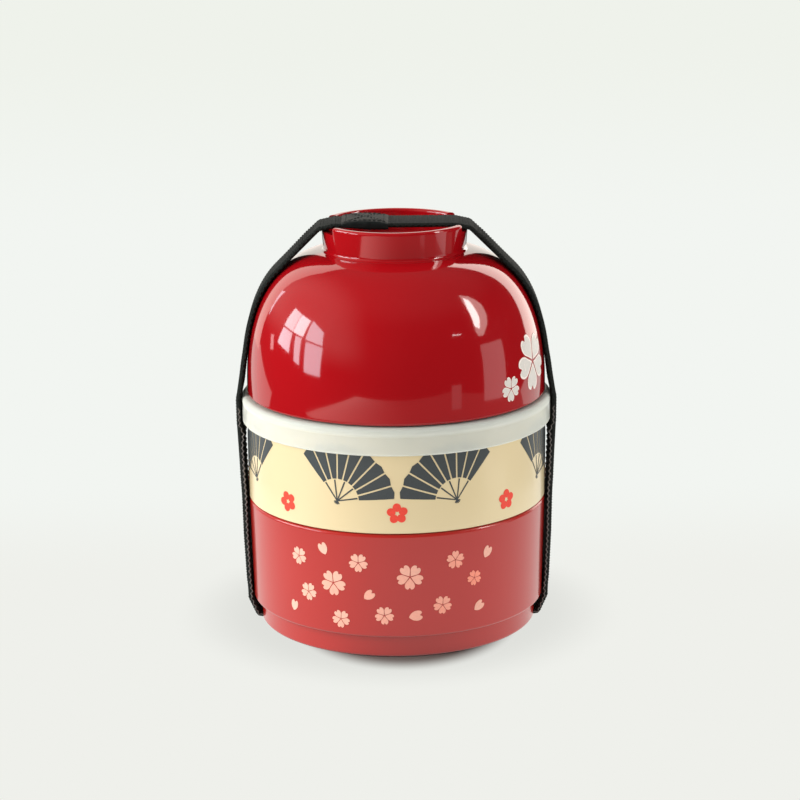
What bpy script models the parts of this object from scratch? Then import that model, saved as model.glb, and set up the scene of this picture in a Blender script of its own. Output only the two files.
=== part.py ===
"""A round stacked lunch box, standing on its foot with +Z up.

From the table up: a lower tier, an upper tier that nests in it, a milky inner lid, and a soup bowl
turned upside down as the cover. A flat elastic belt runs round the stack in the XZ plane, over the
bowl's foot ring and under the base, and a sewn sleeve covers the join in it.
The origin is the centre of the base, on the table. Sizes are in millimetres, and mm() makes metres.
"""
import math

import bmesh
import bpy
from mathutils import Matrix, Vector

# Gaps between pieces
GAP = 0.3                    # between faces that touch or nest
BELT_GAP = 0.3               # between the belt and what it bears on

TIER_RADIUS = 50.8           # outside of both tiers where they meet

# Lower tier
LOWER_DRAFT = 0.85           # how much its wall narrows from the rim down to the step
STEP_INSET = 2.55            # from that wall in to the foot
STEP_HEIGHT = 7.7            # height of the foot
LOWER_HEIGHT = 43.3
LOWER_WALL = 2.0
LOWER_FLOOR = 2.2
LOWER_CORNER = 8.0           # round inside the bottom, for spooning
FOOT_RECESS = 3.4            # hollow under the floor
FOOT_RIM = 3.0               # width of the ring that stands on the table
BASE_NOTCH_ROOM = 1.0        # beside the belt, where it passes under the foot
BASE_NOTCH_SPARE = 0.4       # between the belt and the table

# Upper tier
UPPER_HEIGHT = 33.8          # from its shoulder to its rim
UPPER_WALL = 2.0
UPPER_FLOOR = 2.0
UPPER_CORNER = 6.0
SPIGOT_DEPTH = 4.5           # how far it goes down into the lower tier
SPIGOT_RECESS = 1.5
SPIGOT_RIM = 2.4

# Inner lid
LID_SKIRT_DEPTH = 9.1
LID_SKIRT_WALL = 1.4
LID_PLATE = 1.6
LID_EDGE = 1.4               # round of the lid's outer top edge
PLUG_DEPTH = 3.5             # sealing ring inside the upper tier
PLUG_WALL = 1.2
LOCATOR_HEIGHT = 1.6         # ring that keeps the bowl in place
LOCATOR_WALL = 1.4

# Bowl, upside down: its outline is a superellipse above a straight rim band
BOWL_INSET = 0.2             # from the tiers' outside to the bowl's
BOWL_RIM_BAND = 2.0
BOWL_DEPTH = 47.7            # from the rim band to the crown
BOWL_SIDE_POWER = 3.95
BOWL_CROWN_POWER = 2.3
BOWL_WALL = 2.0
BOWL_CROWN_WALL = 2.2
RING_TOP_RADIUS = 24.65      # outside of the foot ring at its top
RING_FLARE = 0.75            # how much narrower it is at its base
RING_HEIGHT = 8.3            # above the crown
RING_WALL = 2.3
RING_FILLET = 1.0
NOTCH_ROOM = 4.0             # beside the belt, in the two notches that it lies in
NOTCH_SPARE = 0.9            # depth of the notches beyond the belt's thickness
NOTCH_ROUND = 1.0
BOWL_TURN = math.radians(4.3)    # the bowl stands turned by this in the belt

# Elastic belt and the sleeve over its join
BELT_WIDTH = 16.0
BELT_THICKNESS = 1.7
BELT_RISE = 1.0              # the stiff bend lifts the top run by this over the notches
BELT_BEND = 4.5              # how far in from the ring's edge that bend reaches
PATCH_LENGTH = 15.7
PATCH_CENTRE = -9.9          # along X
PATCH_WALL = 0.5
PATCH_EDGE = 0.6

# Fineness of the solids
TURN_STEPS = 48
FILLET_STEPS = 2
BOWL_STEPS = 10
BEND_STEP = math.radians(12)
SHARP_ANGLE = math.radians(50)
EDGE = 0.5                   # small rounds on rims
MERGE = 0.0001               # mm
CUTTER_MARGIN = 5.0
CUTTER_GREY = (0.5, 0.5, 0.5)

# Radii and heights that follow from the sizes above
STEP_RADIUS = TIER_RADIUS - LOWER_DRAFT
BASE_RADIUS = STEP_RADIUS - STEP_INSET
BOWL_RADIUS = TIER_RADIUS - BOWL_INSET
RING_BASE_RADIUS = RING_TOP_RADIUS - RING_FLARE
LID_RADIUS = TIER_RADIUS + GAP + LID_SKIRT_WALL
UPPER_SHOULDER = LOWER_HEIGHT + GAP
UPPER_RIM = UPPER_SHOULDER + UPPER_HEIGHT
LID_UNDERSIDE = UPPER_RIM + GAP
LID_TOP = LID_UNDERSIDE + LID_PLATE
LID_SKIRT_END = LID_TOP - LID_SKIRT_DEPTH
BOWL_RIM = LID_TOP + GAP
BOWL_SHOULDER = BOWL_RIM + BOWL_RIM_BAND
BOWL_CROWN = BOWL_SHOULDER + BOWL_DEPTH
RING_TOP = BOWL_CROWN + RING_HEIGHT
NOTCH_WIDTH = BELT_WIDTH + 2 * NOTCH_ROOM
NOTCH_FLOOR = RING_TOP - BELT_THICKNESS - NOTCH_SPARE
BASE_NOTCH_WIDTH = BELT_WIDTH + 2 * BASE_NOTCH_ROOM
BASE_NOTCH_DEPTH = BASE_NOTCH_SPARE + BELT_THICKNESS + BELT_GAP


def mm(value):
    """Millimetres to metres."""
    return value * 0.001


def clear_scene():
    for old in list(bpy.data.objects):
        bpy.data.objects.remove(old, do_unlink=True)


def finish_of(name, colour, roughness, metallic=0.0):
    """A plain Principled material with the piece's own colour."""
    material = bpy.data.materials.new(name)
    material.use_nodes = True
    shader = material.node_tree.nodes["Principled BSDF"]
    shader.inputs["Base Color"].default_value = (*colour, 1.0)
    shader.inputs["Roughness"].default_value = roughness
    shader.inputs["Metallic"].default_value = metallic
    material.diffuse_color = (*colour, 1.0)
    return material


def outline(points):
    """Points (radius, height) of an outline whose corners (radius, height, round) are filleted."""
    result = []
    for index, point in enumerate(points):
        if len(point) < 3:
            result.append(Vector(point))
            continue
        corner = Vector(point[:2])
        before = (Vector(points[index - 1][:2]) - corner).normalized()
        after = (Vector(points[(index + 1) % len(points)][:2]) - corner).normalized()
        half = before.angle(after) / 2
        centre = corner + (before + after).normalized() * (point[2] / math.sin(half))
        reach = point[2] / math.tan(half)
        first = corner + before * reach - centre
        last = corner + after * reach - centre
        for step in range(FILLET_STEPS + 1):
            spoke = first.slerp(last, step / FILLET_STEPS)
            result.append(centre + spoke * point[2])
    return result


def finish(name, mesh_data, material):
    """Merge, face outward, shade smooth and link a bmesh as one named object."""
    bmesh.ops.remove_doubles(mesh_data, verts=mesh_data.verts, dist=mm(MERGE))
    bmesh.ops.recalc_face_normals(mesh_data, faces=mesh_data.faces)
    mesh = bpy.data.meshes.new(name)
    mesh_data.to_mesh(mesh)
    mesh_data.free()
    mesh.shade_smooth()
    mesh.set_sharp_from_angle(angle=SHARP_ANGLE)
    mesh.materials.append(material)
    piece = bpy.data.objects.new(name, mesh)
    bpy.context.scene.collection.objects.link(piece)
    return piece


def turned(name, points, material):
    """A solid of revolution about Z from its closed half outline, which starts and ends on the axis."""
    shape = bmesh.new()
    verts = [shape.verts.new((mm(p.x), 0.0, mm(p.y))) for p in points]
    edges = [shape.edges.new(pair) for pair in zip(verts, verts[1:])]
    bmesh.ops.spin(shape, geom=verts + edges, cent=(0, 0, 0), axis=(0, 0, 1),
                   angle=math.tau, steps=TURN_STEPS, use_merge=True)
    return finish(name, shape, material)


def notch_cutter(name, width, low, high, reach, turn):
    """A bar along X, turned about Z, with its four long edges rounded. It is cut away, not shown."""
    shape = bmesh.new()
    size = Matrix.Diagonal((mm(2 * reach), mm(width), mm(high - low), 1.0))
    place = Matrix.Rotation(turn, 4, "Z") @ Matrix.Translation((0, 0, mm((low + high) / 2)))
    bmesh.ops.create_cube(shape, size=1.0, matrix=place @ size)
    along = Matrix.Rotation(turn, 3, "Z") @ Vector((1, 0, 0))
    long_edges = [e for e in shape.edges
                  if abs((e.verts[1].co - e.verts[0].co).dot(along)) > mm(reach)]
    bmesh.ops.bevel(shape, geom=long_edges, offset=mm(NOTCH_ROUND), segments=FILLET_STEPS,
                    profile=0.5, affect="EDGES")
    cutter = finish(name, shape, finish_of(name, CUTTER_GREY, 1.0))
    cutter.hide_render = True
    cutter.display_type = "WIRE"
    return cutter


def cut(piece, cutter):
    boolean = piece.modifiers.new(cutter.name, "BOOLEAN")
    boolean.operation = "DIFFERENCE"
    boolean.solver = "EXACT"
    boolean.object = cutter


def make_lower_tier():
    inner_base = BASE_RADIUS - FOOT_RIM
    floor_top = FOOT_RECESS + LOWER_FLOOR
    points = outline([
        (0.0, FOOT_RECESS),
        (inner_base, FOOT_RECESS),
        (inner_base, 0.0, EDGE),
        (BASE_RADIUS, 0.0, 2 * EDGE),
        (BASE_RADIUS, STEP_HEIGHT, EDGE),
        (STEP_RADIUS, STEP_HEIGHT, 2 * EDGE),
        (TIER_RADIUS, LOWER_HEIGHT, EDGE),
        (TIER_RADIUS - LOWER_WALL, LOWER_HEIGHT, EDGE),
        (STEP_RADIUS - LOWER_WALL, floor_top, LOWER_CORNER),
        (0.0, floor_top),
    ])
    piece = turned("lower_tier", points, finish_of("red_gloss_plastic", (0.42, 0.02, 0.02), 0.15))
    cut(piece, notch_cutter("base_notch_cutter", BASE_NOTCH_WIDTH, -CUTTER_MARGIN,
                            BASE_NOTCH_DEPTH, BASE_RADIUS + CUTTER_MARGIN, 0.0))


def make_upper_tier():
    spigot_end = UPPER_SHOULDER - SPIGOT_DEPTH
    spigot_radius = TIER_RADIUS - LOWER_WALL - GAP
    spigot_inner = spigot_radius - SPIGOT_RIM
    underside = spigot_end + SPIGOT_RECESS
    inner = TIER_RADIUS - UPPER_WALL
    points = outline([
        (0.0, underside),
        (spigot_inner, underside),
        (spigot_inner, spigot_end),
        (spigot_radius, spigot_end, EDGE),
        (spigot_radius, UPPER_SHOULDER),
        (TIER_RADIUS, UPPER_SHOULDER, EDGE),
        (TIER_RADIUS, UPPER_RIM, EDGE),
        (inner, UPPER_RIM, EDGE),
        (inner, underside + UPPER_FLOOR, UPPER_CORNER),
        (0.0, underside + UPPER_FLOOR),
    ])
    turned("upper_tier", points, finish_of("cream_gloss_plastic", (0.86, 0.74, 0.51), 0.3))


def make_inner_lid():
    skirt_inner = LID_RADIUS - LID_SKIRT_WALL
    plug = TIER_RADIUS - UPPER_WALL - GAP
    plug_end = LID_UNDERSIDE - PLUG_DEPTH
    locator = BOWL_RADIUS - BOWL_WALL - GAP
    locator_top = LID_TOP + LOCATOR_HEIGHT
    points = outline([
        (0.0, LID_UNDERSIDE),
        (plug - PLUG_WALL, LID_UNDERSIDE),
        (plug - PLUG_WALL, plug_end),
        (plug, plug_end, EDGE),
        (plug, LID_UNDERSIDE),
        (skirt_inner, LID_UNDERSIDE),
        (skirt_inner, LID_SKIRT_END, EDGE),
        (LID_RADIUS, LID_SKIRT_END, EDGE),
        (LID_RADIUS, LID_TOP, LID_EDGE),
        (locator, LID_TOP),
        (locator, locator_top, EDGE),
        (locator - LOCATOR_WALL, locator_top, EDGE),
        (locator - LOCATOR_WALL, LID_TOP),
        (0.0, LID_TOP),
    ])
    turned("inner_lid", points, finish_of("milky_polyethylene", (0.87, 0.86, 0.80), 0.45))


def bowl_curve(radius, depth, end_radius):
    """The bowl's superellipse from its side up to end_radius, as (radius, height) points."""
    last = math.acos((end_radius / radius) ** (BOWL_SIDE_POWER / 2))
    curve = []
    for step in range(BOWL_STEPS + 1):
        angle = last * step / BOWL_STEPS
        across = radius * math.cos(angle) ** (2 / BOWL_SIDE_POWER)
        up = depth * math.sin(angle) ** (2 / BOWL_CROWN_POWER)
        curve.append((across, BOWL_SHOULDER + up))
    return curve


def bowl_outside():
    return bowl_curve(BOWL_RADIUS, BOWL_DEPTH, RING_BASE_RADIUS + RING_FILLET)


def make_bowl():
    inner_radius = BOWL_RADIUS - BOWL_WALL
    inner_depth = BOWL_DEPTH - BOWL_CROWN_WALL
    inner_end = RING_BASE_RADIUS / 2
    outside = bowl_outside()
    inside = bowl_curve(inner_radius, inner_depth, inner_end)
    ring_foot = outside[-1][1]
    ring_inner_base = RING_BASE_RADIUS - RING_WALL
    ring_inner_top = RING_TOP_RADIUS - RING_WALL
    points = outline(
        [(0.0, BOWL_SHOULDER + inner_depth)]
        + inside[::-1]
        + [
            (inner_radius, BOWL_RIM, EDGE),
            (BOWL_RADIUS, BOWL_RIM, 2 * EDGE),
        ]
        + outside[:-1]
        + [
            (RING_BASE_RADIUS, ring_foot, RING_FILLET),
            (RING_TOP_RADIUS, RING_TOP, 2 * EDGE),
            (ring_inner_top, RING_TOP, 2 * EDGE),
            (ring_inner_base, BOWL_CROWN, RING_FILLET),
            (0.0, BOWL_CROWN),
        ]
    )
    piece = turned("bowl", points, finish_of("deep_red_gloss_plastic", (0.36, 0.008, 0.012), 0.08))
    cut(piece, notch_cutter("ring_notch_cutter", NOTCH_WIDTH, NOTCH_FLOOR, RING_TOP + CUTTER_MARGIN,
                            RING_TOP_RADIUS + CUTTER_MARGIN, BOWL_TURN))


def hull(points):
    """The convex outline of flat points, counter-clockwise."""
    ordered = sorted(set(points))

    def half(run):
        kept = []
        for point in run:
            while len(kept) > 1:
                a, b = kept[-2], kept[-1]
                turn = (b[0] - a[0]) * (point[1] - a[1]) - (b[1] - a[1]) * (point[0] - a[0])
                if turn > 0:
                    break
                kept.pop()
            kept.append(point)
        return kept[:-1]

    return half(ordered) + half(ordered[::-1])


def belt_section():
    """What the taut belt bears on in the XZ plane, as (x, z) points on the +X side."""
    side = [
        (BASE_RADIUS, BASE_NOTCH_DEPTH),
        (STEP_RADIUS, STEP_HEIGHT),
        (TIER_RADIUS, LOWER_HEIGHT),
        (TIER_RADIUS, UPPER_RIM),
        (LID_RADIUS, LID_SKIRT_END),
        (LID_RADIUS, LID_TOP - LID_EDGE),
        (RING_TOP_RADIUS, NOTCH_FLOOR),
        (RING_TOP_RADIUS - BELT_BEND, NOTCH_FLOOR + BELT_RISE),
    ]
    return side + bowl_outside()


def belt_loops():
    """The belt's inner and outer lines, point for point."""
    side = belt_section()
    corners = hull(side + [(-x, z) for x, z in side])
    inner, outer = [], []
    for index, corner in enumerate(corners):
        here = Vector(corner)
        before = (here - Vector(corners[index - 1])).normalized()
        after = (Vector(corners[(index + 1) % len(corners)]) - here).normalized()
        first = Vector((before.y, -before.x))
        last = Vector((after.y, -after.x))
        steps = max(1, math.ceil(first.angle(last) / BEND_STEP))
        for step in range(steps + 1):
            out = first.slerp(last, step / steps)
            inner.append(here + out * BELT_GAP)
            outer.append(here + out * (BELT_GAP + BELT_THICKNESS))
    return inner, outer


def make_elastic_belt():
    shape = bmesh.new()
    inner, outer = belt_loops()
    half = BELT_WIDTH / 2
    rings = []
    for near, far in zip(inner, outer):
        section = [(near, -half), (far, -half), (far, half), (near, half)]
        rings.append([shape.verts.new((mm(p.x), mm(y), mm(p.y))) for p, y in section])
    for index, ring in enumerate(rings):
        following = rings[(index + 1) % len(rings)]
        for side in range(4):
            beyond = (side + 1) % 4
            shape.faces.new((ring[side], ring[beyond], following[beyond], following[side]))
    finish("elastic_belt", shape, finish_of("black_elastic", (0.02, 0.022, 0.021), 0.85))


def sleeve_ring(shape, x, width, height, middle, round_by):
    """A rounded rectangle across X, as a loop of vertices."""
    half_width = width / 2 - round_by
    half_height = height / 2 - round_by
    loop = []
    for quarter, (sy, sz) in enumerate([(1, 1), (-1, 1), (-1, -1), (1, -1)]):
        for step in range(FILLET_STEPS + 1):
            angle = math.radians(90) * (quarter + step / FILLET_STEPS)
            y = sy * half_width + round_by * math.cos(angle)
            z = middle + sz * half_height + round_by * math.sin(angle)
            loop.append(shape.verts.new((mm(x), mm(y), mm(z))))
    return loop


def make_belt_patch():
    """A flat sleeve round the belt's top run."""
    belt_low = NOTCH_FLOOR + BELT_RISE + BELT_GAP
    middle = belt_low + BELT_THICKNESS / 2
    inner_width = BELT_WIDTH + 2 * GAP
    inner_height = BELT_THICKNESS + 2 * GAP
    outer_width = inner_width + 2 * PATCH_WALL
    outer_height = inner_height + 2 * PATCH_WALL
    shape = bmesh.new()
    loops = []
    for x in (PATCH_CENTRE - PATCH_LENGTH / 2, PATCH_CENTRE + PATCH_LENGTH / 2):
        outside = sleeve_ring(shape, x, outer_width, outer_height, middle, PATCH_EDGE)
        inside = sleeve_ring(shape, x, inner_width, inner_height, middle, PATCH_EDGE / 2)
        loops.append((outside, inside))
    (left_out, left_in), (right_out, right_in) = loops
    pairs = [(left_out, right_out), (right_out, right_in), (right_in, left_in), (left_in, left_out)]
    for first, second in pairs:
        for index in range(len(first)):
            beyond = (index + 1) % len(first)
            shape.faces.new((first[index], first[beyond], second[beyond], second[index]))
    finish("belt_patch", shape, finish_of("black_leather_cloth", (0.035, 0.037, 0.037), 0.45))


clear_scene()
make_lower_tier()
make_upper_tier()
make_inner_lid()
make_bowl()
make_elastic_belt()
make_belt_patch()
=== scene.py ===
"""The look of a round stacked lunch box: two nesting tiers, a milky lid, an upturned bowl and a belt.

Sizes are in millimetres unless a name says otherwise, and mm() makes metres. +Z is up, -Y is the
front, and azimuths are in degrees from the front towards +X.
"""
import math

import bmesh
import bpy
import numpy as np
from mathutils import Matrix, Vector, noise
from mathutils.geometry import interpolate_bezier


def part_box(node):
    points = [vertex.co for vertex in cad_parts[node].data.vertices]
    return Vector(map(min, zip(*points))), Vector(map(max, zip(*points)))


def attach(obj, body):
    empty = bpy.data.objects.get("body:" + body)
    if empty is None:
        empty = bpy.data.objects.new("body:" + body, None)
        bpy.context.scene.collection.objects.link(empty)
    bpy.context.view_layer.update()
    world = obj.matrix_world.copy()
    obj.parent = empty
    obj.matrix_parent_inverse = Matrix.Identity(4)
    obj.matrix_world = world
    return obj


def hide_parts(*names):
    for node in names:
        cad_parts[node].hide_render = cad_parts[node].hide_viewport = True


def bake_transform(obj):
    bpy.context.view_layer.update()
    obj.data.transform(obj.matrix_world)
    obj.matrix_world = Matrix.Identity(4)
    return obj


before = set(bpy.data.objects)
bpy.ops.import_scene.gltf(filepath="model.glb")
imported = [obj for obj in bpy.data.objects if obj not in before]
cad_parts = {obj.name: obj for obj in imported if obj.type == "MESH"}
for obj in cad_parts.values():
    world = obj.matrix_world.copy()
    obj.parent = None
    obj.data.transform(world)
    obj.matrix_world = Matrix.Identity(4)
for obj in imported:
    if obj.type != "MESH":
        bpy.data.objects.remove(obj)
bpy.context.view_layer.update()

METRES = 0.001


def mm(value):
    """Millimetres to metres."""
    return value * METRES


def box_mm(node):
    """Lowest and highest corner of a solid of the frame, in millimetres."""
    low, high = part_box(node)
    return low / METRES, high / METRES


# The frame's own sizes
LOWER_HIGH = box_mm("lower_tier")[1]
UPPER_LOW, UPPER_HIGH = box_mm("upper_tier")
LID_LOW, LID_HIGH = box_mm("inner_lid")
BOWL_LOW, BOWL_HIGH = box_mm("bowl")
BELT_LOW, BELT_HIGH = box_mm("elastic_belt")
PATCH_LOW, PATCH_HIGH = box_mm("belt_patch")
TIER_RADIUS = LOWER_HIGH.x
LID_RADIUS = LID_HIGH.x
BOWL_RADIUS = BOWL_HIGH.x

# Walls and rounds of the vessels
GAP = 0.3  # between pieces that nest
RIM_ROUND = 0.9
EDGE = 0.5  # the small round of every other edge
LOWER_DRAFT = 0.85
STEP_INSET = 2.55
STEP_HEIGHT = 7.7
LOWER_WALL = 2.0
LOWER_FLOOR = 2.2
LOWER_CORNER = 8.0
FOOT_RECESS = 3.4
FOOT_RIM = 3.0
UPPER_WALL = 2.0
UPPER_FLOOR = 2.0
UPPER_CORNER = 6.0
SPIGOT_RECESS = 1.5
SPIGOT_RIM = 2.4
LID_SKIRT_WALL = 1.4
LID_PLATE = 1.6
LID_EDGE = 1.4
LID_DENSITY = 0.6  # how much of what lies behind the skirt is hidden
PLUG_DEPTH = 3.5
PLUG_WALL = 1.2
LOCATOR_HEIGHT = 1.6
LOCATOR_WALL = 1.4
BOWL_RIM_BAND = 2.0
BOWL_DEPTH = 47.7
BOWL_SIDE_POWER = 3.95
BOWL_CROWN_POWER = 2.3
BOWL_WALL = 2.0
BOWL_CROWN_WALL = 2.2
RING_TOP_RADIUS = 24.65
RING_FLARE = 0.75
RING_WALL = 2.3
RING_FILLET = 1.0
NOTCH_ROOM = 4.0  # on either side of the belt
BASE_NOTCH_ROOM = 1.0
NOTCH_SPARE = 0.9
NOTCH_ROUND = 1.0
NOTCH_EDGE_ROUND = 0.6
BOWL_TURN = math.radians(4.3)
CUTTER_MARGIN = 5.0

# Elastic belt, its ribs and the sleeve over its join
BELT_WIDTH = BELT_HIGH.y - BELT_LOW.y
BELT_THICKNESS = 1.7
BELT_GAP = 0.3
BELT_RISE = 1.0
BELT_BEND = 4.5
RIB_PITCH = 1.0
RIB_RADIUS = 0.42
RIB_HEIGHT = 0.14  # how far the ribs stand out of the band
YARN_RADIUS = 0.2
YARN_SWING = 0.28  # of the yarn along each edge, to and fro
PATCH_WALL = 0.5
SLEEVE_POWER = 5  # of the superellipse across it
CREASE_DEPTH = 0.28
SEAM_INSETS = (1.5, 2.1)  # along and across the belt
SEAM_SINK = 0.1
SEAM_POINTS = 9
STITCH_PITCH = 1.5
STITCH_LENGTH = 1.15
STITCH_WIDTH = 0.34
# The pulled belt by height: how far its middle bows out, and its edges curl towards the box
BOW_HEIGHTS = (2.4, 5.0, 9.0, 14.0, 30.0, 50.0, 62.0, 69.0, 78.0, 90.0, 105.0, 124.0, 132.0, 136.0)
BOW_DEPTHS = (0.2, 0.7, 1.4, 1.9, 2.3, 2.3, 1.9, 0.7, 0.7, 0.95, 0.75, 0.45, 0.4, 0.0)
CURL_HEIGHTS = (2.4, 10.0, 45.0, 66.0, 69.0, 78.0, 82.0, 95.0, 105.0, 125.0, 136.0)
CURL_DEPTHS = (0.2, 2.3, 3.3, 2.8, 1.2, 1.1, 1.5, 1.6, 1.4, 0.6, 0.0)

# Heights and radii that follow
UPPER_SHOULDER = LOWER_HIGH.z + GAP
LID_UNDERSIDE = UPPER_HIGH.z + GAP
LID_TOP = LID_UNDERSIDE + LID_PLATE
BOWL_SHOULDER = BOWL_LOW.z + BOWL_RIM_BAND
BOWL_CROWN = BOWL_SHOULDER + BOWL_DEPTH
RING_BASE_RADIUS = RING_TOP_RADIUS - RING_FLARE
RING_TOP = BOWL_HIGH.z
NOTCH_FLOOR = RING_TOP - BELT_THICKNESS - NOTCH_SPARE
STEP_RADIUS = TIER_RADIUS - LOWER_DRAFT
BASE_RADIUS = STEP_RADIUS - STEP_INSET
BASE_NOTCH_DEPTH = BELT_LOW.z + BELT_THICKNESS + BELT_GAP
BASE_NOTCH_WIDTH = BELT_WIDTH + 2 * BASE_NOTCH_ROOM
PATCH_MIDDLE = (PATCH_LOW + PATCH_HIGH) / 2
PATCH_HALF = (PATCH_HIGH - PATCH_LOW) / 2

# Fineness of the surfaces
TURN_STEPS = 224
FILLET_STEPS = 6
SUPPORT = 0.25  # from a fillet's end to the point that supports its shading
BOWL_STEPS = 44
BEND_STEP = math.radians(4)
MERGE = 0.0001  # points nearer to each other than this are one
SHARP_ANGLE = math.radians(38)
END_ANGLE = math.radians(75)

# Heights at which the belt is parted
BELT_CUTS = (47.0, 75.0, 98.0)

# Blossoms on the lower tier: azimuth, height, diameter, turn of the first petal from straight down,
# and depth of tint
BLOSSOMS = [
    (-40.0, 32.8, 6.0, 6, 0.1), (-14.8, 33.4, 6.3, 0, 0.2), (-24.9, 25.6, 8.6, -4, 0.2),
    (-35.9, 21.0, 6.1, -5, 0.1), (4.5, 28.8, 8.6, 2, 0.35), (21.9, 33.5, 6.1, 180, 0.6),
    (29.9, 26.2, 5.2, 10, 1.0), (16.9, 18.4, 6.2, 4, 0.6), (-5.2, 15.5, 6.2, -2, 0.35),
    (-22.1, 13.3, 6.1, 3, 0.2),
]
# Loose petals there: azimuth, height, length, turn of the notch from straight up, and depth of tint
PETALS = [
    (-28.8, 36.9, 4.1, -25, 0.1), (-11.0, 22.3, 3.9, 50, 0.4), (-43.4, 14.7, 3.7, 12, 0.1),
    (6.5, 15.2, 4.4, 80, 0.5), (32.0, 16.0, 4.0, 55, 0.4), (35.6, 34.2, 4.0, 28, 0.3),
]
# Pale blossoms on the bowl: azimuth, height, diameter and turn
BOWL_BLOSSOMS = [(48.0, 87.6, 8.4, 4), (64.5, 94.0, 19.0, 8)]
INK_HEIGHT = 0.05  # clear of the wall, so that ink and wall don't flicker
INK_THICKNESS = 0.04
INK_STEP = 1.2  # the longest edge round the wall that isn't divided
LOWER_TINT = 0.18  # how much pinker a blossom's lowest petal is
PETAL_MIDDLE = (0.0, 0.58)
PETAL_INNER = 0.84  # size of a pale petal inside its white edge

# Folding fans round the cream tier
FAN_COUNT = 8
FAN_RADIUS = 19.0
FAN_LEAF_BASE = 7.5
FAN_SPREAD = math.radians(128)
FAN_PLEATS = 9
FAN_GAP = 0.55
FAN_PIVOT_HEIGHT = 54.0
FAN_TILT = math.radians(22)
FAN_FIRST = 22.5
FAN_CREST = 1.025  # how far a pleat's middle stands out
FAN_STICK = 0.5
FAN_STICK_TAPER = 0.7
FAN_STICK_GAP = 0.4
FAN_TAIL = 1.2  # how far the sticks reach past the pivot
PLUM_HEIGHT = 50.6
PLUM_SIZE = 7.0

# Camera, from the photograph: a long lens at 820 mm, square to the belt's plane
CAMERA_TARGET = (0.0, 0.0, 71.36)
CAMERA_DISTANCE = 819.9
CAMERA_ELEVATION = 14.86  # in degrees
CAMERA_ROLL = math.radians(-0.56)
CAMERA_LENS = 108.0
CAMERA_SENSOR = 36.0
CAMERA_SHIFT = (0.0046, 0.01425)


def linear(code):
    """An sRGB hex colour as linear RGBA."""
    parts = [int(code[i:i + 2], 16) / 255 for i in (1, 3, 5)]
    return (*[c / 12.92 if c <= 0.04045 else ((c + 0.055) / 1.055) ** 2.4 for c in parts], 1.0)


def add(tree, kind, inputs=None, out=0, **settings):
    """Adds a node, and returns its output out, by name or number.

    inputs maps a socket's name or number to a value, to the output it takes, or to a list of outputs.
    """
    made = tree.nodes.new(kind)
    for key, value in settings.items():
        setattr(made, key, value)
    for key, value in (inputs or {}).items():
        if isinstance(value, (bpy.types.NodeSocket, list)):
            for source in value if isinstance(value, list) else [value]:
                tree.links.new(source, made.inputs[key])
        else:
            made.inputs[key].default_value = value
    return made.outputs[out] if made.outputs else made


def wire(source, node, *names):
    """Links an output to the named inputs of a node."""
    for name in names:
        source.id_data.links.new(source, node.inputs[name])


def maths(tree, operation, *values):
    return add(tree, "ShaderNodeMath", dict(enumerate(values)), operation=operation)


def vectors(tree, operation, *values, out=0, **more):
    return add(tree, "ShaderNodeVectorMath", {**dict(enumerate(values)), **more}, out, operation=operation)


def axis(tree, vector, name):
    return add(tree, "ShaderNodeSeparateXYZ", {0: vector}, name)


def mixed(tree, share, *ends):
    """The colour at share of the way between two ends, each a hex colour or an output."""
    first, second = (linear(end) if isinstance(end, str) else end for end in ends)
    return add(tree, "ShaderNodeMix", {0: share, 6: first, 7: second}, out=2, data_type="RGBA")


def mapped(tree, value, low, high, least=0.0, most=1.0, kind="LINEAR"):
    """How far a value is on its way from low to high, as a number from least to most."""
    return add(tree, "ShaderNodeMapRange", {
        "Value": value, "From Min": low, "From Max": high, "To Min": least, "To Max": most},
        interpolation_type=kind)


def eased(tree, value, low, high, most=1.0):
    return mapped(tree, value, low, high, 0.0, most, "SMOOTHSTEP")


def object_place(tree):
    return add(tree, "ShaderNodeTexCoord", out="Object")


def per_mm(size):
    """A texture scale whose features are about size millimetres across."""
    return 1.0 / mm(size)


def cloud(tree, place, size, detail, **more):
    """Noise with features about size millimetres across."""
    return add(tree, "ShaderNodeTexNoise", {
        "Vector": place, "Scale": per_mm(size), "Detail": detail, **more})


def bump(tree, shader, height, strength, depth, sockets=("Normal",)):
    """Roughens a shader by a height that is about depth millimetres deep."""
    bent = add(tree, "ShaderNodeBump", {"Height": height, "Strength": strength, "Distance": mm(depth)})
    wire(bent, shader, *sockets)


def surface(name, **values):
    """A material with its Principled shader's own sockets set, its tree, its shader and its place."""
    material = bpy.data.materials.new(name)
    material.use_nodes = True
    tree = material.node_tree
    shader = tree.nodes["Principled BSDF"]
    for key, value in values.items():
        shader.inputs[key.replace("_", " ")].default_value = value
    return material, tree, shader, object_place(tree)


def clouded(name, size, detail, dark, light, **values):
    """The same, with a base colour that drifts between two over about size millimetres."""
    material, tree, shader, place = surface(name, **values)
    wire(mixed(tree, cloud(tree, place, size, detail), dark, light), shader, "Base Color")
    return material, tree, shader, place


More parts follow.
